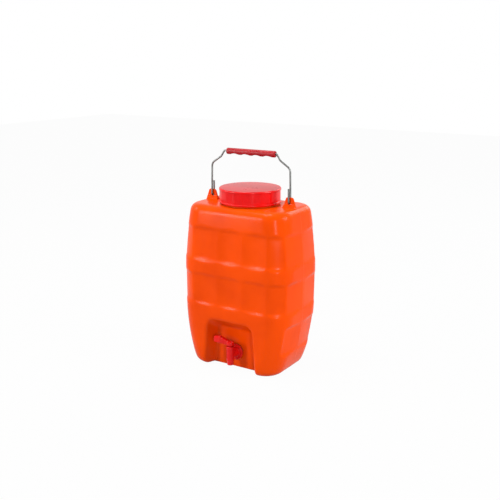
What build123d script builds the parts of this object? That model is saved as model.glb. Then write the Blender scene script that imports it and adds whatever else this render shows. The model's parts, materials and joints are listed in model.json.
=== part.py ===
from build123d import *
from math import cos, pi, sin
import os

# A ten litre camping water canister, sizes in millimetres.
# The origin is on the ground under the middle of the tank, +Z is up and the tap faces -Y.

# Tank shell
tank_height = 321.5
waist_height = 190
base_half_width, waist_half_width, top_half_width = 94.2, 120.5, 108.5
base_front_depth, base_back_depth, waist_half_depth = 77.2, 67.5, 77.5
top_front_depth, top_back_depth = 69.5, 71.5
width_taper_power, depth_taper_power, top_taper_power = 3.5, 2, 2
corner_radius = 41
shoulder_radius = 16
base_radius = 16
shell_wall = 2
floor_wall = 5.5
alcove_wall = 3
section_count = 9

# Sunk bands between the belts, with scooped panels side by side in them
band_edges = ((212.6, 281), (124.5, 190), (42, 104.5))
band_depth, panel_edge_depth, panel_depth = 0.8, 0.5, 2.8
lower_ledge, upper_ledge = 6.5, 4
front_panel_pitch, side_panel_pitch = 56, 57
rib_width = 1
cutter_lift, cutter_reach = 0.6, 6

# Push up under the floor
push_up_length, push_up_width, push_up_depth = 124, 72, 2.5
push_up_centre_y = 2
push_up_corner = 14

# Alcove for the tap, open at the front and below
alcove_back = 50
alcove_front = 84
alcove_back_top, alcove_front_top = 80, 106
alcove_back_half_top, alcove_front_half_top = 42, 53
alcove_back_half_base, alcove_front_half_base = 49, 62
alcove_back_corner, alcove_front_corner = 12, 18
alcove_below = 4
lip_radius = 6

# Neck and screw lid
neck_radius = 54
neck_wall = 4
lid_radius = 60
lid_base_height = 324.2
lid_height = 29
lid_top_wall = 3
lid_bore_radius = 56.5
lid_edge_radius = 2.5
lid_bead_height = 4
lid_flat_top_gap = 4.5
lid_flat_count = 20
lid_flat_depth = 1.2
gasket_thickness = 2
gasket_radius, gasket_width = 56, 9

# Ears on the shoulder
ear_centre = 88
ear_thickness = 3
ear_top_height = 341.3
ear_top_half, ear_base_half = 7.5, 16.5
ear_corner_radius = 4.5
ear_hole_clearance = 0.55

# Wire bail, hooked through the ears from front to back
wire_radius = 1.75
hook_reach = 87.3
hook_height = 330.1
hook_half_gap = 3.75
hook_bend = 2.8
stub_top_height = 357.7
knee_reach, knee_height = 85.9, 394
elbow_reach, elbow_height = 64.9, 408.2
crown_reach = 57.3
knee_bend, elbow_bend, crown_bend = 12, 7, 3.5

# Grip sleeve on the bail
grip_height = 420
grip_length = 106.4
grip_shift = 2
grip_radius = 5.6
grip_lobe_drop = 1.2
grip_groove_count, grip_groove_pitch = 4, 24
grip_groove_depth, grip_groove_radius = 2.4, 20
grip_bore_clearance = 0.09
grip_end_radius = 1.6

# Tap, through the back wall of the alcove
tap_height = 33
tap_axis_depth = 72
outer_washer_thickness, inner_washer_thickness = 2, 2
washer_radius, washer_clearance = 15.4, 0.3
flange_radius, flange_thickness, flange_edge_radius = 16.3, 4, 1.4
shank_radius, shank_past_nut = 9.8, 3
shank_hole_clearance = 0.4
nut_thickness, nut_across_flats, nut_clearance = 8, 28, 0.04
barrel_root_radius, barrel_end_radius = 10.8, 7
water_way_radius = 4.5
chamber_radius, chamber_top_height = 7.6, 47
chamber_bore_radius, chamber_seat_height = 5.6, 22
spout_radius, spout_height, spout_top_height = 6.3, 12, 20.5

# Valve plug inside the tap, with its two sealing rings and the cap that holds it
plug_clearance, plug_end_gap = 0.05, 0.3
plug_port_radius = 3.4
stem_radius, stem_clearance = 3.2, 0.06
ring_section, ring_squeeze, ring_spacing = 1.3, 0.02, 15
ring_groove_gap = 0.15
bonnet_radius, bonnet_height, bonnet_spigot, bonnet_edge = 8.2, 3, 3, 0.7

# Lever on the plug
lever_gap = 2.5
lever_hub_radius, lever_hub_height = 7.2, 6.5
lever_half_width = 4.6
lever_reach, lever_back_reach = 36, 7
lever_tip_top, lever_tip_bottom = 12.5, 1.5
lever_crest_reach, lever_crest_height = 24, 13.5
lever_edge_radius = 1.6
square_side, square_depth, square_clearance = 4.4, 4.5, 0.04

os.makedirs("parts", exist_ok=True)


def swell(height, base, waist, top, base_power):
    """Half a size of the barrel at a height: full at the waist, drawn in above and below it."""
    if height < waist_height:
        return waist - (waist - base) * ((waist_height - height) / waist_height) ** base_power
    return waist - (waist - top) * ((height - waist_height) / (tank_height - waist_height)) ** top_taper_power


def half_width(height):
    return swell(height, base_half_width, waist_half_width, top_half_width, width_taper_power)


def front_depth(height):
    return swell(height, base_front_depth, waist_half_depth, top_front_depth, depth_taper_power)


def back_depth(height):
    return swell(height, base_back_depth, waist_half_depth, top_back_depth, depth_taper_power)


def middle_depth(height):
    return (back_depth(height) - front_depth(height)) / 2


def half_depth(height):
    return (back_depth(height) + front_depth(height)) / 2


def section_heights(low, high):
    return [low + (high - low) * step / (section_count - 1) for step in range(section_count)]


# The alcove runs between a small outline at its back wall and a wide one before the tank.
alcove_sections = (
    (alcove_back, alcove_back_top, alcove_back_half_top, alcove_back_half_base, alcove_back_corner),
    (alcove_front, alcove_front_top, alcove_front_half_top, alcove_front_half_base, alcove_front_corner),
)


def alcove_corners(section, wall):
    """Corner points of one alcove outline, grown by a wall."""
    depth, top, half_top, half_base, corner = section
    return (
        (half_base + wall, -alcove_below),
        (half_top + wall, top + wall),
        (-half_top - wall, top + wall),
        (-half_base - wall, -alcove_below),
    )


# The hollow inside the tank: the barrel drawn in by the sunk panels and the wall.
hollow_inset = panel_depth + shell_wall
hollow_top = tank_height - hollow_inset
with BuildPart() as hollow:
    for height in section_heights(floor_wall, hollow_top):
        with BuildSketch(Plane.XY.offset(height)):
            with Locations((0, middle_depth(height))):
                RectangleRounded(
                    2 * (half_width(height) - hollow_inset),
                    2 * (half_depth(height) - hollow_inset),
                    corner_radius - hollow_inset,
                )
    loft()
    fillet(hollow.faces().sort_by(Axis.Z)[-1].edges(), shoulder_radius - hollow_inset)
    fillet(hollow.faces().sort_by(Axis.Z)[0].edges(), base_radius - hollow_inset)
    # The alcove stands into the hollow with its own wall.
    for section in alcove_sections:
        wall_depth = section[0] - alcove_wall if section[0] == alcove_back else section[0]
        with BuildSketch(Plane.XZ.offset(wall_depth)) as walled_outline:
            with BuildLine():
                Polyline(*alcove_corners(section, alcove_wall), close=True)
            make_face()
            fillet(walled_outline.vertices().group_by(Axis.Z)[-1], section[-1] + alcove_wall)
    loft(mode=Mode.SUBTRACT)

# The bands run round the tank, but the lowest stops at the front corners, beside the alcove.
with BuildPart() as bands:
    for low, high in band_edges:
        band_middle = (low + high) / 2
        with BuildSketch(Plane.XY.offset(low)):
            band_front = -tank_height / 2
            if low < alcove_back_top:
                band_front = corner_radius * sin(side_panel_pitch / 2 / corner_radius) - base_front_depth
            with Locations((0, band_front)):
                Rectangle(tank_height, tank_height, align=(Align.CENTER, Align.MIN))
        extrude(amount=high - low)
        for height, inset in (
            (low, -cutter_lift),
            (low + lower_ledge, band_depth),
            (band_middle, band_depth),
            (high - upper_ledge, band_depth),
            (high, -cutter_lift),
        ):
            with BuildSketch(Plane.XY.offset(height)):
                with Locations((0, middle_depth(height))):
                    RectangleRounded(
                        2 * (half_width(height) - inset),
                        2 * (half_depth(height) - inset),
                        corner_radius - inset,
                    )
        loft(ruled=True, mode=Mode.SUBTRACT)


def outline_point(distance, height):
    """A point of the rear right quarter of the barrel's outline, a distance round from its right side."""
    side_flat = half_depth(height) - corner_radius
    front_flat = half_width(height) - corner_radius
    past = distance - side_flat
    angle = past / corner_radius
    if past < 0:
        return Vector(half_width(height), distance)
    if angle < pi / 2:
        return Vector(front_flat + corner_radius * cos(angle), side_flat + corner_radius * sin(angle))
    return Vector(front_flat + corner_radius * pi / 2 - past, half_depth(height))


def panel_ends(panel, height):
    """Where a panel begins and ends on that quarter: the back has three, the side two, a corner one."""
    quarter = half_depth(height) + half_width(height) + corner_radius * (pi / 2 - 2)
    back_edge = quarter - 1.5 * front_panel_pitch
    edges = {
        "side": (0, side_panel_pitch),
        "corner": (side_panel_pitch, back_edge),
        "outer": (back_edge, back_edge + front_panel_pitch),
        "middle": (back_edge + front_panel_pitch, quarter + front_panel_pitch / 2),
    }
    start, end = edges[panel]
    return start + rib_width / 2, end - rib_width / 2


# A scoop has its panel and the quarter of the tank that it is turned to.
scoops = []
for front_turn in (-1, 1):
    scoops.append(("middle", 1, front_turn))
    for side_turn in (-1, 1):
        for panel in ("side", "corner", "outer"):
            scoops.append((panel, side_turn, front_turn))

# The tank, one blown shell with its neck, ears and alcove.
with BuildPart() as tank_body:
    for height in section_heights(0, tank_height):
        with BuildSketch(Plane.XY.offset(height)):
            with Locations((0, middle_depth(height))):
                RectangleRounded(2 * half_width(height), 2 * half_depth(height), corner_radius)
    loft()
    fillet(tank_body.faces().sort_by(Axis.Z)[-1].edges(), shoulder_radius)
    fillet(tank_body.faces().sort_by(Axis.Z)[0].edges(), base_radius)
    add(bands.part, mode=Mode.SUBTRACT)
    # Each panel is a shallow scoop that runs out at the belts above and below.
    for panel, side_turn, front_turn in scoops:
        for low, high in band_edges:
            if panel != "side" and front_turn < 0 and low < alcove_back_top:
                continue
            run_out = panel_depth + cutter_lift
            for height, lift in (
                (low, run_out),
                (low + lower_ledge, 0),
                (high - upper_ledge, 0),
                (high, run_out),
            ):
                start, end = panel_ends(panel, height)
                chord = outline_point(end, height) - outline_point(start, height)
                outward = Vector(chord.Y, -chord.X).normalized()
                corners = (
                    outline_point(start, height) + outward * (lift - panel_edge_depth),
                    outline_point((start + end) / 2, height) + outward * (lift - panel_depth),
                    outline_point(end, height) + outward * (lift - panel_edge_depth),
                    outline_point(end, height) + outward * (lift + cutter_reach),
                    outline_point(start, height) + outward * (lift + cutter_reach),
                )
                places = []
                for corner in corners:
                    places.append((side_turn * corner.X, middle_depth(height) + front_turn * corner.Y))
                with BuildSketch(Plane.XY.offset(height)):
                    with BuildLine():
                        ThreePointArc(*places[:3])
                        Polyline(*places[2:], places[0])
                    make_face()
            loft(ruled=True, mode=Mode.SUBTRACT)
    # Alcove with a rounded lip
    for section in alcove_sections:
        with BuildSketch(Plane.XZ.offset(section[0])) as alcove_outline:
            with BuildLine():
                Polyline(*alcove_corners(section, 0), close=True)
            make_face()
            fillet(alcove_outline.vertices().group_by(Axis.Z)[-1], section[-1])
    loft(mode=Mode.SUBTRACT)
    lip_edges = []
    for edge in tank_body.edges(Select.LAST):
        middle = edge.center()
        if middle.Z > base_radius and middle.Y < lip_radius / 2 - front_depth(middle.Z):
            lip_edges.append(edge)
    fillet(lip_edges, lip_radius)
    # Neck
    neck_foot = tank_height - shell_wall
    neck_top = lid_base_height + lid_height - lid_top_wall - gasket_thickness
    with BuildSketch(Plane.XY.offset(neck_foot)):
        Circle(neck_radius)
    extrude(amount=neck_top - neck_foot)
    # Ears, flat lugs in the plane of the bail
    ear_foot = hollow_top - shell_wall
    with BuildSketch(Plane.XZ.offset(-ear_thickness / 2)) as ear_outline:
        for side in (-1, 1):
            with BuildLine():
                Polyline(
                    (side * ear_centre - ear_base_half, ear_foot),
                    (side * ear_centre - ear_top_half, ear_top_height),
                    (side * ear_centre + ear_top_half, ear_top_height),
                    (side * ear_centre + ear_base_half, ear_foot),
                    close=True,
                )
            make_face()
        fillet(ear_outline.vertices().group_by(Axis.Z)[-1], ear_corner_radius)
        with Locations((-hook_reach, hook_height), (hook_reach, hook_height)):
            Circle(wire_radius + ear_hole_clearance, mode=Mode.SUBTRACT)
    extrude(amount=ear_thickness)
    # Inside, neck bore, tap hole and the push up under the floor
    add(hollow.part, mode=Mode.SUBTRACT)
    with BuildSketch(Plane.XY.offset(neck_top)):
        Circle(neck_radius - neck_wall)
    extrude(amount=hollow_top - shell_wall - neck_top, mode=Mode.SUBTRACT)
    with BuildSketch(Plane.XZ.offset(alcove_back)):
        with Locations((0, tap_height)):
            Circle(shank_radius + shank_hole_clearance)
    extrude(amount=-2 * alcove_wall, mode=Mode.SUBTRACT)
    with BuildSketch():
        with Locations((0, push_up_centre_y)):
            RectangleRounded(push_up_length, push_up_width, push_up_corner)
    extrude(amount=push_up_depth, mode=Mode.SUBTRACT)
tank_body.part.label = "tank_body"
export_step(tank_body.part, "parts/tank_body.step")

# Screw lid with a gripping face of narrow flats above a round bead.
with BuildPart() as lid:
    with BuildSketch(Plane.XY.offset(lid_base_height)):
        Circle(lid_radius)
    extrude(amount=lid_height)
    fillet(lid.faces().sort_by(Axis.Z)[-1].edges(), lid_edge_radius)
    with BuildSketch(Plane.XY.offset(lid_base_height)):
        Circle(lid_bore_radius)
    extrude(amount=lid_height - lid_top_wall, mode=Mode.SUBTRACT)
    with BuildSketch(Plane.XY.offset(lid_base_height + lid_bead_height)):
        Circle(lid_radius + lid_flat_depth)
        RegularPolygon(lid_radius - lid_flat_depth, lid_flat_count, major_radius=False, mode=Mode.SUBTRACT)
    extrude(amount=lid_height - lid_bead_height - lid_flat_top_gap, mode=Mode.SUBTRACT)
lid.part.label = "lid"
export_step(lid.part, "parts/lid.step")

with BuildPart() as lid_gasket:
    with BuildSketch(Plane.XY.offset(neck_top)):
        Circle(gasket_radius)
        Circle(gasket_radius - gasket_width, mode=Mode.SUBTRACT)
    extrude(amount=gasket_thickness)
lid_gasket.part.label = "lid_gasket"
export_step(lid_gasket.part, "parts/lid_gasket.step")

# The bail is one wire. Its plane is turned so that one leg passes before its ear and the other behind.
bail_turn = hook_half_gap / hook_reach


def wire_points(side):
    """Corners of one half of the bail, from the end of the stub up to the grip."""
    points = [(side * hook_reach, -side * hook_half_gap, stub_top_height)]
    points.append((side * hook_reach, -side * hook_half_gap, hook_height))
    for reach, height in (
        (hook_reach, hook_height),
        (knee_reach, knee_height),
        (elbow_reach, elbow_height),
        (crown_reach, grip_height),
    ):
        points.append((side * reach, side * reach * bail_turn, height))
    return points


with BuildPart() as bail_wire:
    with BuildLine() as wire_path:
        half_bends = (hook_bend, hook_bend, knee_bend, elbow_bend, crown_bend)
        FilletPolyline(*wire_points(-1), *reversed(wire_points(1)), radius=half_bends + half_bends[::-1])
    with BuildSketch(Plane(origin=wire_path.line @ 0, z_dir=wire_path.line % 0)):
        Circle(wire_radius)
    sweep(path=wire_path.line)
bail_wire.part.label = "bail_wire"
export_step(bail_wire.part, "parts/bail_wire.step")

# Grip sleeve with four finger hollows under it.
along_grip = Vector(1, bail_turn, 0).normalized()
across_grip = Vector(-along_grip.Y, along_grip.X, 0)
grip_centre = Vector(0, 0, grip_height) + along_grip * grip_shift
grip_end = grip_centre - along_grip * (grip_length / 2)
with BuildPart() as grip_sleeve:
    with BuildSketch(Plane(origin=grip_end, x_dir=across_grip, z_dir=along_grip)):
        with Locations((0, -grip_lobe_drop / 2)):
            SlotOverall(2 * grip_radius + grip_lobe_drop, 2 * grip_radius, rotation=90)
    extrude(amount=grip_length)
    end_faces = grip_sleeve.faces().sort_by(Axis.X)
    fillet(end_faces[0].edges() + end_faces[-1].edges(), grip_end_radius)
    groove_drop = grip_radius + grip_lobe_drop - grip_groove_depth + grip_groove_radius
    with BuildSketch(Plane(origin=grip_centre, x_dir=along_grip, z_dir=-across_grip)):
        with Locations((0, -groove_drop)):
            with GridLocations(grip_groove_pitch, 0, grip_groove_count, 1):
                Circle(grip_groove_radius)
    extrude(amount=2 * grip_radius, both=True, mode=Mode.SUBTRACT)
    with BuildSketch(Plane(origin=grip_end, x_dir=across_grip, z_dir=along_grip)):
        Circle(wire_radius + grip_bore_clearance)
    extrude(amount=grip_length, mode=Mode.SUBTRACT)
grip_sleeve.part.label = "grip_sleeve"
export_step(grip_sleeve.part, "parts/grip_sleeve.step")

# Tap body: threaded shank, flange, barrel, upright chamber and spout.
flange_back = alcove_back + outer_washer_thickness
flange_front = flange_back + flange_thickness
nut_front = alcove_back - alcove_wall - inner_washer_thickness
nut_back = nut_front - nut_thickness
shank_end = nut_back - shank_past_nut
with BuildPart() as tap_body:
    with BuildSketch(Plane.XZ.offset(flange_back)):
        with Locations((0, tap_height)):
            Circle(flange_radius)
    extrude(amount=flange_thickness)
    fillet(tap_body.faces().sort_by(Axis.Y)[0].edges(), flange_edge_radius)
    with BuildSketch(Plane.XZ.offset(shank_end)):
        with Locations((0, tap_height)):
            Circle(shank_radius)
    extrude(amount=flange_back - shank_end)
    with BuildSketch(Plane.XZ.offset(flange_front)):
        with Locations((0, tap_height)):
            Circle(barrel_root_radius)
    with BuildSketch(Plane.XZ.offset(tap_axis_depth)):
        with Locations((0, tap_height)):
            Circle(barrel_end_radius)
    loft()
    with BuildSketch(Plane.XY.offset(spout_height)):
        with Locations((0, -tap_axis_depth)):
            Circle(spout_radius)
    extrude(amount=tap_height - spout_height)
    with BuildSketch(Plane.XY.offset(spout_top_height)):
        with Locations((0, -tap_axis_depth)):
            Circle(chamber_radius)
    extrude(amount=chamber_top_height - spout_top_height)
    with BuildSketch(Plane.XZ.offset(shank_end)):
        with Locations((0, tap_height)):
            Circle(water_way_radius)
    extrude(amount=tap_axis_depth - shank_end, mode=Mode.SUBTRACT)
    with BuildSketch(Plane.XY.offset(spout_height)):
        with Locations((0, -tap_axis_depth)):
            Circle(water_way_radius)
    extrude(amount=tap_height - spout_height, mode=Mode.SUBTRACT)
    with BuildSketch(Plane.XY.offset(chamber_seat_height)):
        with Locations((0, -tap_axis_depth)):
            Circle(chamber_bore_radius)
    extrude(amount=chamber_top_height - chamber_seat_height, mode=Mode.SUBTRACT)
tap_body.part.label = "tap_body"
export_step(tap_body.part, "parts/tap_body.step")

with BuildPart() as tap_outer_washer:
    with BuildSketch(Plane.XZ.offset(alcove_back)):
        with Locations((0, tap_height)):
            Circle(washer_radius)
            Circle(shank_radius + washer_clearance, mode=Mode.SUBTRACT)
    extrude(amount=outer_washer_thickness)
tap_outer_washer.part.label = "tap_outer_washer"
export_step(tap_outer_washer.part, "parts/tap_outer_washer.step")

with BuildPart() as tap_inner_washer:
    with BuildSketch(Plane.XZ.offset(nut_front)):
        with Locations((0, tap_height)):
            Circle(washer_radius)
            Circle(shank_radius + washer_clearance, mode=Mode.SUBTRACT)
    extrude(amount=inner_washer_thickness)
tap_inner_washer.part.label = "tap_inner_washer"
export_step(tap_inner_washer.part, "parts/tap_inner_washer.step")

with BuildPart() as tap_lock_nut:
    with BuildSketch(Plane.XZ.offset(nut_back)):
        with Locations((0, tap_height)):
            RegularPolygon(nut_across_flats / 2, 6, major_radius=False)
            Circle(shank_radius + nut_clearance, mode=Mode.SUBTRACT)
    extrude(amount=nut_thickness)
tap_lock_nut.part.label = "tap_lock_nut"
export_step(tap_lock_nut.part, "parts/tap_lock_nut.step")

# Valve plug. Water enters its side port when the lever points outward and leaves through its foot.
plug_radius = chamber_bore_radius - plug_clearance
plug_bottom = chamber_seat_height + plug_end_gap
plug_top = chamber_top_height - bonnet_spigot - plug_end_gap
lever_bottom = chamber_top_height + bonnet_height + lever_gap
ring_radius = chamber_bore_radius - ring_squeeze - ring_section / 2
with BuildPart() as tap_plug:
    with BuildSketch(Plane.XY.offset(plug_bottom)):
        with Locations((0, -tap_axis_depth)):
            Circle(plug_radius)
    extrude(amount=plug_top - plug_bottom)
    with BuildSketch(Plane.XY.offset(plug_top)):
        with Locations((0, -tap_axis_depth)):
            Circle(stem_radius)
    extrude(amount=lever_bottom - plug_top)
    with BuildSketch(Plane.XY.offset(lever_bottom)):
        with Locations((0, -tap_axis_depth)):
            Rectangle(square_side, square_side)
    extrude(amount=square_depth)
    with BuildSketch(Plane.XY.offset(plug_bottom)):
        with Locations((0, -tap_axis_depth)):
            Circle(plug_port_radius)
    extrude(amount=tap_height - plug_bottom, mode=Mode.SUBTRACT)
    with BuildSketch(Plane.YZ):
        with Locations((-tap_axis_depth, tap_height)):
            Circle(plug_port_radius)
    extrude(amount=chamber_radius, mode=Mode.SUBTRACT)
    groove_height = ring_section + 2 * ring_groove_gap
    for place in (-1, 1):
        groove_middle = tap_height + place * ring_spacing / 2
        with BuildSketch(Plane.XY.offset(groove_middle - groove_height / 2)):
            with Locations((0, -tap_axis_depth)):
                Circle(chamber_radius)
                Circle(ring_radius - ring_section / 2, mode=Mode.SUBTRACT)
        extrude(amount=groove_height, mode=Mode.SUBTRACT)
tap_plug.part.label = "tap_plug"
export_step(tap_plug.part, "parts/tap_plug.step")

with BuildPart(Location((0, -tap_axis_depth, tap_height - ring_spacing / 2))) as plug_lower_ring:
    Torus(ring_radius, ring_section / 2)
plug_lower_ring.part.label = "plug_lower_ring"
export_step(plug_lower_ring.part, "parts/plug_lower_ring.step")

with BuildPart(Location((0, -tap_axis_depth, tap_height + ring_spacing / 2))) as plug_upper_ring:
    Torus(ring_radius, ring_section / 2)
plug_upper_ring.part.label = "plug_upper_ring"
export_step(plug_upper_ring.part, "parts/plug_upper_ring.step")

# Cap that snaps into the chamber and keeps the plug down.
with BuildPart() as tap_bonnet:
    with BuildSketch(Plane.XY.offset(chamber_top_height)):
        with Locations((0, -tap_axis_depth)):
            Circle(bonnet_radius)
    extrude(amount=bonnet_height)
    fillet(tap_bonnet.faces().sort_by(Axis.Z)[-1].edges(), bonnet_edge)
    with BuildSketch(Plane.XY.offset(chamber_top_height - bonnet_spigot)):
        with Locations((0, -tap_axis_depth)):
            Circle(chamber_bore_radius)
    extrude(amount=bonnet_spigot)
    with BuildSketch(Plane.XY.offset(chamber_top_height - bonnet_spigot)):
        with Locations((0, -tap_axis_depth)):
            Circle(stem_radius + stem_clearance)
    extrude(amount=bonnet_spigot + bonnet_height, mode=Mode.SUBTRACT)
tap_bonnet.part.label = "tap_bonnet"
export_step(tap_bonnet.part, "parts/tap_bonnet.step")

# Lever, a thumb piece that rises from its hub. It points sideways when the tap is shut.
with BuildPart() as tap_lever:
    with BuildSketch(Plane.XZ.offset(tap_axis_depth)):
        with BuildLine(Plane.XZ.offset(tap_axis_depth)):
            Polyline(
                (lever_back_reach, lever_bottom),
                (lever_back_reach, lever_bottom + lever_hub_height / 2),
                (0, lever_bottom + lever_hub_height),
                (-lever_crest_reach, lever_bottom + lever_crest_height),
                (-lever_reach, lever_bottom + lever_tip_top),
                (-lever_reach, lever_bottom + lever_tip_bottom),
                (0, lever_bottom),
                close=True,
            )
        make_face()
    extrude(amount=lever_half_width, both=True)
    fillet(tap_lever.edges().filter_by(Axis.Y), lever_edge_radius)
    with BuildSketch(Plane.XY.offset(lever_bottom)):
        with Locations((0, -tap_axis_depth)):
            Circle(lever_hub_radius)
    extrude(amount=lever_hub_height)
    with BuildSketch(Plane.XY.offset(lever_bottom)):
        with Locations((0, -tap_axis_depth)):
            Rectangle(square_side + 2 * square_clearance, square_side + 2 * square_clearance)
    extrude(amount=square_depth, mode=Mode.SUBTRACT)
tap_lever.part.label = "tap_lever"
export_step(tap_lever.part, "parts/tap_lever.step")
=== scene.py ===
# Camping water canister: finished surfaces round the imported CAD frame, in metres.
import json
import math

import bpy
from mathutils import Matrix, Vector

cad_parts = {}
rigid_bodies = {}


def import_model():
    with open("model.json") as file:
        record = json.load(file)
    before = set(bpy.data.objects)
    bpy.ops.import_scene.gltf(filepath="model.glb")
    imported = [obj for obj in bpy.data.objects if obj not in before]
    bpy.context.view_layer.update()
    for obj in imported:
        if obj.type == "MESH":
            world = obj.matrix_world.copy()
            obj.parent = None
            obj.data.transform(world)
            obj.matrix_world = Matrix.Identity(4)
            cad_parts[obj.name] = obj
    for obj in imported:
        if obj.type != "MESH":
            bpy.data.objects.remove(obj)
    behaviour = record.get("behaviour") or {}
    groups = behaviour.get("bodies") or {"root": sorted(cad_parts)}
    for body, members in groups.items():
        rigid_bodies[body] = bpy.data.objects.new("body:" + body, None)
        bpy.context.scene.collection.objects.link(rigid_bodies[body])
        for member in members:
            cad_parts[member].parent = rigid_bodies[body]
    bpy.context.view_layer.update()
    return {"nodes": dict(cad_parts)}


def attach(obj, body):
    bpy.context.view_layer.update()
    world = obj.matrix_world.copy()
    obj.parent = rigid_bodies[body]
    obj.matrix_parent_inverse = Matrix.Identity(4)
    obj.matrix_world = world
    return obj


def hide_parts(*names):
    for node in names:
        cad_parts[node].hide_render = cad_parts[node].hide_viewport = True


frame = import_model()
nodes = frame["nodes"]
print("frame loaded with", len(nodes), "nodes")


# Tools that every piece uses

meshLook = {
    "mergeGap": 0.00001,  # corners nearer than this become one
    "sameHeight": 0.0001,  # places nearer than this lie at one height
    "overrun": 0.01,  # a cutter runs this far past what it cuts
    "softening": 0.5,
    "cylinderSides": 128,
    "blockSegments": 6,
}


def deselectAll():
    for item in bpy.context.view_layer.objects:
        item.select_set(False)


def takeUp(piece):  # the piece becomes the only one selected
    deselectAll()
    piece.select_set(True)
    bpy.context.view_layer.objects.active = piece
    return piece


def openFaces(piece, wanted):  # edit mode, with the faces that pass wanted(centre, normal, corners) picked
    takeUp(piece)
    bpy.context.tool_settings.mesh_select_mode = (False, False, True)
    mesh = piece.data
    for item in list(mesh.vertices) + list(mesh.edges):
        item.select = False
    for face in mesh.polygons:
        face.select = bool(wanted(face.center, face.normal, [mesh.vertices[i].co for i in face.vertices]))
    bpy.ops.object.mode_set(mode="EDIT")


def openEdges(piece, wanted):  # edit mode, with the edges that pass wanted(start, end) picked
    takeUp(piece)
    bpy.context.tool_settings.mesh_select_mode = (False, True, False)
    mesh = piece.data
    for item in list(mesh.vertices) + list(mesh.polygons):
        item.select = False
    for edge in mesh.edges:
        edge.select = bool(wanted(*[mesh.vertices[i].co for i in edge.vertices]))
    bpy.ops.object.mode_set(mode="EDIT")


def openAll(piece):  # edit mode, with all faces picked
    takeUp(piece)
    bpy.context.tool_settings.mesh_select_mode = (False, False, True)
    bpy.ops.object.mode_set(mode="EDIT")
    bpy.ops.mesh.select_all(action="SELECT")


def closeEdit():
    bpy.ops.object.mode_set(mode="OBJECT")


def isLevel(start, end):
    return abs(start.z - end.z) < meshLook["sameHeight"]


def isUpright(start, end):
    return not isLevel(start, end)


def isFrom(height):  # a test for edges that lie at this height or above
    return lambda start, end: min(start.z, end.z) > height - meshLook["sameHeight"]


def isUpTo(height):  # a test for edges that lie at this height or below
    return lambda start, end: max(start.z, end.z) < height + meshLook["sameHeight"]


def roundEdges(piece, wanted, width, segments):
    openEdges(piece, wanted)
    bpy.ops.mesh.bevel(offset=width, segments=segments, affect="EDGES")
    closeEdit()


def deleteFaces(piece, wanted):
    openFaces(piece, wanted)
    bpy.ops.mesh.delete(type="FACE")
    closeEdit()


def fillHoles(piece):
    openAll(piece)
    bpy.ops.mesh.fill_holes(sides=0)
    bpy.ops.mesh.quads_convert_to_tris()
    closeEdit()


def addModifier(piece, kind, **settings):  # a modifier is set and applied at once
    takeUp(piece)
    modifier = piece.modifiers.new(kind.lower(), kind)
    for key, value in settings.items():
        setattr(modifier, key, value)
    bpy.ops.object.modifier_apply(modifier=modifier.name)


def soften(piece, grain, passes):  # a moulded look: the edges are rounded a little all over
    addModifier(piece, "REMESH", mode="VOXEL", voxel_size=grain)
    addModifier(piece, "SMOOTH", factor=meshLook["softening"], iterations=passes)
    takeUp(piece)
    bpy.ops.object.shade_smooth()


def shadeByAngle(piece, degrees):
    takeUp(piece)
    bpy.ops.object.shade_smooth_by_angle(angle=math.radians(degrees))


def settle(piece):  # the place goes into the mesh
    takeUp(piece)
    bpy.ops.object.transform_apply(location=True, rotation=True, scale=True)
    return piece


def twin(source, name):  # a copy with its own mesh
    piece = source.copy()
    piece.data = source.data.copy()
    piece.name = name
    piece.data.name = name
    bpy.context.scene.collection.objects.link(piece)
    return piece


def copyOfNode(nodeName, pieceName):  # a merged copy of a CAD node
    piece = twin(nodes[nodeName], pieceName)
    for key in list(piece.keys()):
        del piece[key]
    piece.parent = None
    openAll(piece)
    bpy.ops.mesh.remove_doubles(threshold=meshLook["mergeGap"])
    closeEdit()
    return piece


def softCopy(nodeName, pieceName, grain, passes):
    piece = copyOfNode(nodeName, pieceName)
    soften(piece, grain, passes)
    return piece


def cylinder(name, radius, low, high, sides=meshLook["cylinderSides"]):
    deselectAll()
    middle = (0, 0, (low + high) / 2)
    bpy.ops.mesh.primitive_cylinder_add(vertices=sides, radius=radius, depth=high - low, location=middle)
    piece = bpy.context.active_object
    piece.name = name
    return settle(piece)


def roundedBlock(name, low, high, corner):
    deselectAll()
    middle = [(a + b) / 2 for a, b in zip(low, high)]
    bpy.ops.mesh.primitive_cube_add(size=1, location=middle, scale=[b - a for a, b in zip(low, high)])
    block = settle(bpy.context.active_object)
    block.name = name
    addModifier(block, "BEVEL", width=corner, segments=meshLook["blockSegments"], limit_method="NONE")
    return block


def joinTo(piece, other):
    takeUp(piece)
    other.select_set(True)
    bpy.ops.object.join()


def combine(piece, other, operation):
    addModifier(piece, "BOOLEAN", operation=operation, solver="EXACT", object=other)
    bpy.data.objects.remove(other)


def putOn(piece, body, slot, *replaced):
    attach(piece, body)
    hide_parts(*replaced)


# Materials

class Flow:  # a socket in a material, for sums written as plain expressions
    def __init__(self, maker, socket):
        self.maker = maker
        self.socket = socket

    def maths(self, operation, *values):
        return self.maker.node("Math", {"operation": operation}, dict(enumerate(values)))

    def __add__(self, other):
        return self.maths("ADD", self, other)

    def __radd__(self, other):
        return self.maths("ADD", other, self)

    def __rsub__(self, other):
        return self.maths("SUBTRACT", other, self)

    def __mul__(self, other):
        return self.maths("MULTIPLY", self, other)

    def __rmul__(self, other):
        return self.maths("MULTIPLY", other, self)

    def __abs__(self):
        return self.maths("ABSOLUTE", self)

    def highest(self, other):
        return self.maths("MAXIMUM", self, other)

    def fade(self, start=0.3, end=0.7):  # 0 at start, 1 at end, soft between; as it stands it suits a noise
        settings = {"interpolation_type": "SMOOTHSTEP"}
        return self.maker.node("MapRange", settings, {"Value": self, "From Min": start, "From Max": end})


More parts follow.
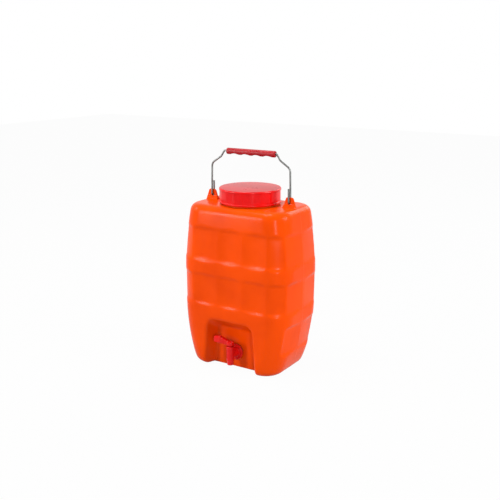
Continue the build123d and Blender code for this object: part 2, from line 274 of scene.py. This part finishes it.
class NodeMaker:  # makes and links the nodes of one material or world
    def __init__(self, owner):
        owner.use_nodes = True
        self.tree = owner.node_tree

    def feed(self, socket, value):
        if isinstance(value, Flow):
            self.tree.links.new(value.socket, socket)
        else:
            socket.default_value = value

    def node(self, kind, settings, values, output=0):
        made = self.tree.nodes.new("ShaderNode" + kind)
        for key, value in settings.items():
            setattr(made, key, value)
        for key, value in values.items():
            self.feed(made.inputs[key], value)
        return Flow(self, made.outputs[output])


class Paint(NodeMaker):
    def __init__(self, name, **fixed):
        self.material = bpy.data.materials.new(name)
        super().__init__(self.material)
        self.shader = self.tree.nodes["Principled BSDF"]
        for key, value in fixed.items():
            self.shader.inputs[key.replace("_", " ")].default_value = value
        self.place = self.node("TexCoord", {}, {}, "Object")

    def noise(self, scale, detail=2.0, roughness=0.5, place=None):
        values = {"Vector": place or self.place, "Scale": scale, "Detail": detail, "Roughness": roughness}
        return self.node("TexNoise", {}, values)

    def stretched(self, scale):  # the place with each axis scaled
        return self.node("Mapping", {}, {"Vector": self.place, "Scale": scale})

    def axis(self, name):
        return self.node("SeparateXYZ", {}, {"Vector": self.place}, name)

    def mix(self, amount, first, second):
        return self.node("Mix", {"data_type": "RGBA"}, {0: amount, 6: first, 7: second}, 2)

    def colour(self, value):
        self.feed(self.shader.inputs["Base Color"], value)

    def rough(self, value):
        self.feed(self.shader.inputs["Roughness"], value)

    def bump(self, height, strength, distance):
        values = {"Height": height, "Strength": strength, "Distance": distance}
        self.feed(self.shader.inputs["Normal"], self.node("Bump", {}, values))

    def on(self, *pieces):
        for piece in pieces:
            piece.data.materials.clear()
            piece.data.materials.append(self.material)


shellLook = {
    "deep": (0.62, 0.0455, 0.0002, 1),
    "light": (0.73, 0.0595, 0.0005, 1),
    "roughness": 0.15,
    "ior": 1.5,
    "specular": 0.06,
    "cloudScale": 16,
    "flowScale": 9,
    "flowStretch": (1.6, 1.6, 0.35),
    "grainScale": 900,
    "rippleScale": 70,
    "seamCore": 0.00024,
    "seamHalfWidth": 0.0006,
    "bumpStrength": 0.22,
    "bumpDepth": 0.0006,
}


def makeShellPaint():
    look = shellLook
    paint = Paint("orangeShell", IOR=look["ior"], Specular_IOR_Level=look["specular"])
    cloud = paint.noise(look["cloudScale"], 3)
    flow = paint.noise(look["flowScale"], place=paint.stretched(look["flowStretch"]))
    paint.colour(paint.mix((cloud * 0.6 + flow * 0.4).fade(), look["deep"], look["light"]))
    grain = paint.noise(look["grainScale"], roughness=0.6)
    ripple = paint.noise(look["rippleScale"], 3, 0.45)
    seam = 1 - abs(paint.axis("Y")).fade(look["seamCore"], look["seamHalfWidth"])
    paint.rough(look["roughness"] + 0.06 * cloud + 0.04 * grain + 0.15 * seam)
    paint.bump(grain * 0.05 + ripple * 0.25 + seam * 0.5, look["bumpStrength"], look["bumpDepth"])
    return paint


redLook = {
    "lidRed": {
        "deep": (0.55, 0.0004, 0.0004, 1),
        "light": (0.63, 0.0010, 0.0010, 1),
        "roughness": 0.17,
        "through": 0.1,
    },
    "tapRed": {
        "deep": (0.54, 0.004, 0.003, 1),
        "light": (0.66, 0.008, 0.007, 1),
        "roughness": 0.24,
        "through": 0.1,
    },
    "gripRed": {
        "deep": (0.27, 0.002, 0.005, 1),
        "light": (0.32, 0.004, 0.008, 1),
        "roughness": 0.30,
        "through": 0.05,
    },
    "ior": 1.49,
    "specular": 0.2,
    # painted shade: from this height up, the lid's upward face is painted darker in place of weaker light
    # from above
    "paintedShadeAbove": 0.3530,
    "paintedTopShade": (0.36, 0.004, 0.006, 1),
    "paintedShadeEdge": 0.0006,
    "throughDepth": 0.003,
    "throughColour": (1.0, 0.03, 0.03),
    "cloudScale": 38,
    "scuffScale": 260,
    "scuffStretch": (1, 1, 0.25),
    "grainScale": 1100,
    "bumpStrength": 0.08,
    "bumpDepth": 0.0004,
}


def makeRedPaint(name, paintedShadeAbove=None):
    look = redLook
    red = look[name]
    paint = Paint(
        name, IOR=look["ior"], Specular_IOR_Level=look["specular"], Subsurface_Weight=red["through"],
        Subsurface_Scale=look["throughDepth"], Subsurface_Radius=look["throughColour"],
    )
    cloud = paint.noise(look["cloudScale"], 3)
    shade = paint.mix(cloud.fade(), red["deep"], red["light"])
    scuff = paint.noise(look["scuffScale"], 4, 0.7, paint.stretched(look["scuffStretch"]))
    gloss = red["roughness"] + 0.07 * cloud + 0.06 * scuff.fade(0.55, 0.75)
    if paintedShadeAbove:  # painted shade: the face that lies upwards is painted darker, standing in for less light from above, and it is also made rougher
        paintedTopShade = paint.axis("Z").fade(paintedShadeAbove - look["paintedShadeEdge"], paintedShadeAbove)
        shade = paint.mix(paintedTopShade * 0.9, shade, look["paintedTopShade"])
        gloss = gloss + 0.08 * paintedTopShade
    paint.colour(shade)
    paint.rough(gloss)
    grain = paint.noise(look["grainScale"])
    paint.bump(grain * 0.4 + scuff * 0.3, look["bumpStrength"], look["bumpDepth"])
    return paint


steelLook = {
    "deep": (0.10, 0.104, 0.10, 1),
    "light": (0.18, 0.187, 0.18, 1),
    "roughness": 0.3,
    "drawnScale": 90,
    "drawnStretch": (6, 6, 0.6),
    "spotScale": 420,
    "bumpStrength": 0.1,
    "bumpDepth": 0.0002,
}


def makeSteelPaint():
    look = steelLook
    paint = Paint("bailSteel", Metallic=1.0)
    drawn = paint.noise(look["drawnScale"], 3, 0.6, paint.stretched(look["drawnStretch"]))
    spots = paint.noise(look["spotScale"])
    paint.colour(paint.mix(drawn.fade(), look["deep"], look["light"]))
    paint.rough(look["roughness"] + 0.12 * drawn + 0.08 * spots)
    paint.bump(drawn * 0.6 + spots * 0.3, look["bumpStrength"], look["bumpDepth"])
    return paint


rubberLook = {
    "deep": (0.020, 0.020, 0.021, 1),
    "light": (0.036, 0.035, 0.034, 1),
    "roughness": 0.55,
    "ior": 1.45,
    "cloudScale": 120,
    "grainScale": 1400,
    "bumpStrength": 0.15,
    "bumpDepth": 0.0003,
}


def makeRubberPaint():
    look = rubberLook
    paint = Paint("sealRubber", IOR=look["ior"])
    cloud = paint.noise(look["cloudScale"], 3)
    paint.colour(paint.mix(cloud.fade(), look["deep"], look["light"]))
    paint.rough(look["roughness"] + 0.12 * cloud)
    paint.bump(paint.noise(look["grainScale"]), look["bumpStrength"], look["bumpDepth"])
    return paint


shellPaint = makeShellPaint()
lidPaint = makeRedPaint("lidRed", redLook["paintedShadeAbove"])
tapPaint = makeRedPaint("tapRed")
gripPaint = makeRedPaint("gripRed")
steelPaint = makeSteelPaint()
rubberPaint = makeRubberPaint()
print("materials made")


# Tank: the outside of the blown shell with softened edges, hollowed again afterwards

tankLook = {
    "grain": 0.0020,
    "smoothPasses": 8,
    "sharpAngle": 50,
    "neckFoot": 0.3216,
    "neckRadius": 0.054,
    "neckMargin": 0.0005,
    "rimFrom": 0.34815,
    "earFrom": 0.068,
    "earLow": 0.31,
    "earHalfThickness": 0.00152,
    "mouthRadius": 0.050,
    "hollow": ((-0.100, -0.062, 0.112), (0.100, 0.062, 0.3165)),
    "hollowCorner": 0.020,
    "footHollow": ((-0.080, -0.0469, 0.012), (0.080, 0.052, 0.125)),
    "footCorner": 0.010,
    "alcoveFace": -0.0501,
    "tapHoleHeight": 0.033,
    "tapHoleRadius": 0.0102,
    "tapHoleMargin": 0.0004,
    "tapHoleDepth": 0.012,
    "tapHoleSides": 64,
}


def keepOutside(piece):  # the rims between outside and inside go, then the inside
    look = tankLook
    wallBack = look["footHollow"][0][1]
    holeReach = look["tapHoleRadius"] + look["tapHoleMargin"]

    def isRim(centre, normal, corners):
        atHole = math.hypot(centre.x, centre.z - look["tapHoleHeight"]) < holeReach
        return centre.z > look["rimFrom"] or (atHole and look["alcoveFace"] < centre.y < wallBack)

    deleteFaces(piece, isRim)
    rearmost = max(face.center.y for face in piece.data.polygons)
    openFaces(piece, lambda centre, normal, corners: centre.y > rearmost - meshLook["mergeGap"])
    bpy.ops.mesh.select_linked()
    bpy.ops.mesh.select_all(action="INVERT")
    bpy.ops.mesh.delete(type="VERT")
    closeEdit()


def isEar(centre, normal, corners):
    look = tankLook
    return all(
        abs(corner.y) < look["earHalfThickness"]
        and abs(corner.x) > look["earFrom"]
        and corner.z > look["earLow"]
        for corner in corners
    )


def isEarOrNeck(centre, normal, corners):
    look = tankLook
    overNeck = math.hypot(centre.x, centre.y) < look["neckRadius"] + look["neckMargin"]
    return isEar(centre, normal, corners) or (centre.z > look["neckFoot"] and overNeck)


def makeTankShell():
    look = tankLook
    shell = copyOfNode("tank_body", "tankShell")
    keepOutside(shell)
    deleteFaces(shell, isEarOrNeck)
    fillHoles(shell)
    soften(shell, look["grain"], look["smoothPasses"])
    print("tank shell", len(shell.data.polygons), "faces")
    combine(shell, roundedBlock("hollow", *look["hollow"], look["hollowCorner"]), "DIFFERENCE")
    combine(shell, roundedBlock("footHollow", *look["footHollow"], look["footCorner"]), "DIFFERENCE")
    deselectAll()
    bpy.ops.mesh.primitive_cylinder_add(
        vertices=look["tapHoleSides"], radius=look["tapHoleRadius"], depth=look["tapHoleDepth"],
        location=(0, look["footHollow"][0][1], look["tapHoleHeight"]), rotation=(math.radians(90), 0, 0),
    )
    combine(shell, settle(bpy.context.active_object), "DIFFERENCE")
    roof = look["hollow"][1][2]
    mouth = cylinder(
        "mouth", look["mouthRadius"], roof - meshLook["overrun"], look["neckFoot"] + meshLook["overrun"]
    )
    combine(shell, mouth, "DIFFERENCE")
    shadeByAngle(shell, look["sharpAngle"])
    return shell


earLook = {
    "grain": 0.00055,
    "smoothPasses": 8,
    "flareTop": 0.3285,
    "flareSpread": 4,
    "flareSink": 0.0007,
    "undersideNormal": -0.3,
}


def makeEars():
    look = earLook
    ears = copyOfNode("tank_body", "ears")
    keepOutside(ears)
    deleteFaces(ears, lambda centre, normal, corners: not isEar(centre, normal, corners))
    fillHoles(ears)
    flare = twin(ears, "earFlare")  # the foot of each ear spreads into the shoulder
    top = (0, 0, look["flareTop"])
    openAll(flare)
    bpy.ops.mesh.bisect(plane_co=top, plane_no=(0, 0, 1), use_fill=True, clear_outer=True)
    closeEdit()
    openFaces(flare, lambda centre, normal, corners: normal.z < look["undersideNormal"])
    bpy.ops.transform.resize(value=(1, look["flareSpread"], 1), center_override=top)
    bpy.ops.transform.translate(value=(0, 0, -look["flareSink"]))
    closeEdit()
    joinTo(ears, flare)
    soften(ears, look["grain"], look["smoothPasses"])
    return ears


neckLook = {
    "foot": 0.3195,
    "top": 0.3482,
    "radius": 0.054,
    "wall": 0.004,
    "rimRounding": (0.0008, 3),  # width and segments
    "sharpAngle": 35,
    "threadLow": 0.3275,
    "threadPitch": 0.006,
    "threadTurns": 2,
    "threadSteps": 96,
    "threadRoot": 0.0006,  # how deep the ridge is set into the wall
    "threadHeight": 0.0018,
    "threadFootHalf": 0.0013,
    "threadCrestHalf": 0.0006,
}


def helixRidge(name, rootRadius, crestRadius, low, look):  # one raised thread, swept by the screw modifier
    deselectAll()
    middle = ((rootRadius + crestRadius) / 2, 0, low)
    bpy.ops.mesh.primitive_plane_add(size=1, location=middle, rotation=(math.radians(90), 0, 0))
    ridge = bpy.context.active_object
    ridge.name = name
    ridge.scale = (abs(crestRadius - rootRadius), 2 * look["threadFootHalf"], 1)
    settle(ridge)

    def isCrest(start, end):
        return max(abs(start.x - crestRadius), abs(end.x - crestRadius)) < meshLook["sameHeight"]

    openEdges(ridge, isCrest)
    slim = look["threadCrestHalf"] / look["threadFootHalf"]
    bpy.ops.transform.resize(value=(1, 1, slim), center_override=(crestRadius, 0, low))
    closeEdit()
    openAll(ridge)
    bpy.ops.mesh.delete(type="ONLY_FACE")
    closeEdit()
    steps = look["threadSteps"]
    addModifier(
        ridge, "SCREW", axis="Z", angle=math.radians(360), screw_offset=look["threadPitch"],
        iterations=look["threadTurns"], steps=steps, render_steps=steps,
    )
    fillHoles(ridge)
    openAll(ridge)
    bpy.ops.mesh.remove_doubles(threshold=meshLook["mergeGap"])
    bpy.ops.mesh.normals_make_consistent(inside=False)
    closeEdit()
    return ridge


def makeNeck():
    look = neckLook
    overrun = meshLook["overrun"]
    neck = cylinder("tankNeck", look["radius"], look["foot"], look["top"])
    bore = cylinder("bore", look["radius"] - look["wall"], look["foot"] - overrun, look["top"] + overrun)
    combine(neck, bore, "DIFFERENCE")
    roundEdges(neck, isFrom(look["top"]), *look["rimRounding"])
    root = look["radius"] - look["threadRoot"]
    crest = look["radius"] + look["threadHeight"]
    joinTo(neck, helixRidge("neckThread", root, crest, look["threadLow"], look))
    shadeByAngle(neck, look["sharpAngle"])
    return neck


tankShell = makeTankShell()
ears = makeEars()
tankNeck = makeNeck()
shellPaint.on(tankShell, ears, tankNeck)
for tankPiece in (tankShell, ears, tankNeck):
    putOn(tankPiece, "tank", "orange_shell", "tank_body")
print("tank made")


# Lid: a band of twenty flats between a round bead and a round cap

lidLook = {
    "radius": 0.060,
    "low": 0.3242,
    "beadTop": 0.3284,
    "beadRounding": (0.0014, 4),  # width and segments, as in every rounding here
    "capLow": 0.3486,
    "top": 0.3532,
    "topRounding": (0.0024, 6),
    "capLowRounding": (0.0008, 3),
    "flats": 20,
    "flatRadius": 0.0588,
    "flatRounding": (0.0035, 4),
    "bandOverlap": 0.002,
    "boreRadius": 0.0565,
    "boreTop": 0.3502,
    "sides": 160,
    "sharpAngle": 32,
    "threadLow": 0.3305,
    "threadRoot": 0.0004,
    "threadHeight": 0.0014,
}


def makeLid():
    look = lidLook
    radius, sides, overlap = look["radius"], look["sides"], look["bandOverlap"]
    bandRadius = look["flatRadius"] / math.cos(math.pi / look["flats"])
    low, high = look["beadTop"] - overlap, look["capLow"] + overlap
    band = cylinder("lidShell", bandRadius, low, high, look["flats"])
    roundEdges(band, isUpright, *look["flatRounding"])
    bead = cylinder("bead", radius, look["low"], look["beadTop"], sides)
    roundEdges(bead, isLevel, *look["beadRounding"])
    cap = cylinder("cap", radius, look["capLow"], look["top"], sides)
    roundEdges(cap, isFrom(look["top"]), *look["topRounding"])
    roundEdges(cap, isUpTo(look["capLow"]), *look["capLowRounding"])
    combine(band, bead, "UNION")
    combine(band, cap, "UNION")
    bore = cylinder("bore", look["boreRadius"], look["low"] - meshLook["overrun"], look["boreTop"], sides)
    combine(band, bore, "DIFFERENCE")
    root = look["boreRadius"] + look["threadRoot"]
    crest = look["boreRadius"] - look["threadHeight"]
    joinTo(band, helixRidge("lidThread", root, crest, look["threadLow"], neckLook))
    shadeByAngle(band, look["sharpAngle"])
    return band


lidShell = makeLid()
lidPaint.on(lidShell)
putOn(lidShell, "cover", "red_lid", "lid")
rubberPaint.on(nodes["lid_gasket"])
print("lid made")


# Bail and grip

gripLook = {"grain": 0.0005, "smoothPasses": 10}
gripSleeve = softCopy("grip_sleeve", "gripSleeve", gripLook["grain"], gripLook["smoothPasses"])
gripPaint.on(gripSleeve)
putOn(gripSleeve, "grip", "red_grip", "grip_sleeve")
steelPaint.on(nodes["bail_wire"])
print("bail and grip made")


# Tap

tapLook = {"grain": 0.00045, "smoothPasses": 4, "leverPasses": 8}
tapBody = softCopy("tap_body", "tapBody", tapLook["grain"], tapLook["smoothPasses"])
tapLever = softCopy("tap_lever", "tapLever", tapLook["grain"], tapLook["leverPasses"])
tapPaint.on(tapBody, tapLever, nodes["tap_lock_nut"], nodes["tap_plug"], nodes["tap_bonnet"])
putOn(tapBody, "tank", "red_tap", "tap_body")
putOn(tapLever, "valve", "red_tap", "tap_lever")
rubberPaint.on(
    nodes["tap_outer_washer"], nodes["tap_inner_washer"], nodes["plug_lower_ring"], nodes["plug_upper_ring"]
)
print("tap made")


# Floor, light and camera

stageLook = {
    "floorSize": 9,
    "floorDrop": 0.0002,
    "floorColour": (0.34, 0.34, 0.34, 1),
    "floorRoughness": 0.9,
    "whiteShare": 0.97,
    "fill": 0.26,
    "lampAim": (0, 0, 0.2),
    "boxes": {  # place, width and height, power
        "ledgeLight": ((-1.06, -1.60, 0.80), (0.30, 0.78), 20),
        "lowLight": ((-1.06, -1.60, 0.25), (0.30, 0.30), 2),
        "leftLight": ((-1.55, -0.6, 1.2), (0.7, 0.7), 12),
        "topLight": ((-0.4, -0.2, 2.0), (0.8, 0.7), 29),
        "cornerLight": ((1.28, -1.45, 0.55), (0.12, 0.7), 13),
        "sideLight": ((1.75, 0.3, 1.1), (0.9, 0.9), 37),
        "backLight": ((0.3, 1.9, 1.3), (1.0, 1.0), 13),
    },
}


def seenDirectly(maker):  # 1 for what the camera, gloss and glass see, else 0
    camera = maker.node("LightPath", {}, {}, "Is Camera Ray")
    gloss = maker.node("LightPath", {}, {}, "Is Glossy Ray")
    glass = maker.node("LightPath", {}, {}, "Is Transmission Ray")
    return camera.highest(gloss).highest(glass)


def makeFloor():
    deselectAll()
    bpy.ops.mesh.primitive_plane_add(size=stageLook["floorSize"], location=(0, 0, -stageLook["floorDrop"]))
    floor = settle(bpy.context.active_object)
    floor.name = "floor"
    material = bpy.data.materials.new("floorPaper")
    maker = NodeMaker(material)
    paper = maker.tree.nodes["Principled BSDF"]
    paper.inputs["Base Color"].default_value = stageLook["floorColour"]
    paper.inputs["Roughness"].default_value = stageLook["floorRoughness"]
    white = seenDirectly(maker) * stageLook["whiteShare"]
    glow = maker.node("Emission", {}, {})
    mixed = maker.node("MixShader", {}, {0: white, 1: Flow(maker, paper.outputs[0]), 2: glow})
    maker.feed(maker.tree.nodes["Material Output"].inputs["Surface"], mixed)
    floor.data.materials.append(material)


def makeWorld():
    world = bpy.data.worlds.new("studio")
    bpy.context.scene.world = world
    maker = NodeMaker(world)
    back = maker.tree.nodes["Background"]
    back.inputs["Color"].default_value = (1, 1, 1, 1)
    strength = {"Value": seenDirectly(maker), "To Min": stageLook["fill"], "To Max": 1}
    maker.feed(back.inputs["Strength"], maker.node("MapRange", {}, strength))


def softBox(name, place, size, power):
    lamp = bpy.data.lights.new(name, "AREA")
    lamp.shape = "RECTANGLE"
    lamp.size = size[0]
    lamp.size_y = size[1]
    lamp.energy = power
    box = bpy.data.objects.new(name, lamp)
    bpy.context.scene.collection.objects.link(box)
    box.location = place
    box.rotation_euler = (Vector(stageLook["lampAim"]) - Vector(place)).to_track_quat("-Z", "Y").to_euler()


cameraLook = {  # turn and tilt in degrees, lens and sensor in millimetres
    "turn": 32.5,
    "tilt": 14.51,
    "distance": 1.52087,
    "aim": 0.22765,
    "aside": -0.00034,
    "lens": 55.72,
    "sensor": 36,
}


def makeCamera():
    look = cameraLook
    turn = math.radians(look["turn"])
    tilt = math.radians(look["tilt"])
    right = Vector((math.cos(turn), math.sin(turn), 0))
    back = Vector((math.sin(turn) * math.cos(tilt), -math.cos(turn) * math.cos(tilt), math.sin(tilt)))
    up = back.cross(right)
    place = Vector((0, 0, look["aim"])) + back * look["distance"] + right * look["aside"]
    view = bpy.data.cameras.new("photoView")
    view.lens = look["lens"]
    view.sensor_width = look["sensor"]
    camera = bpy.data.objects.new("photoView", view)
    bpy.context.scene.collection.objects.link(camera)
    camera.matrix_world = Matrix.Translation(place) @ Matrix((right, up, back)).transposed().to_4x4()
    bpy.context.scene.camera = camera


makeFloor()
makeWorld()
for boxName, (boxPlace, boxSize, boxPower) in stageLook["boxes"].items():
    softBox(boxName, boxPlace, boxSize, boxPower)
makeCamera()
bpy.context.scene.view_settings.view_transform = "Standard"
print("stage made")
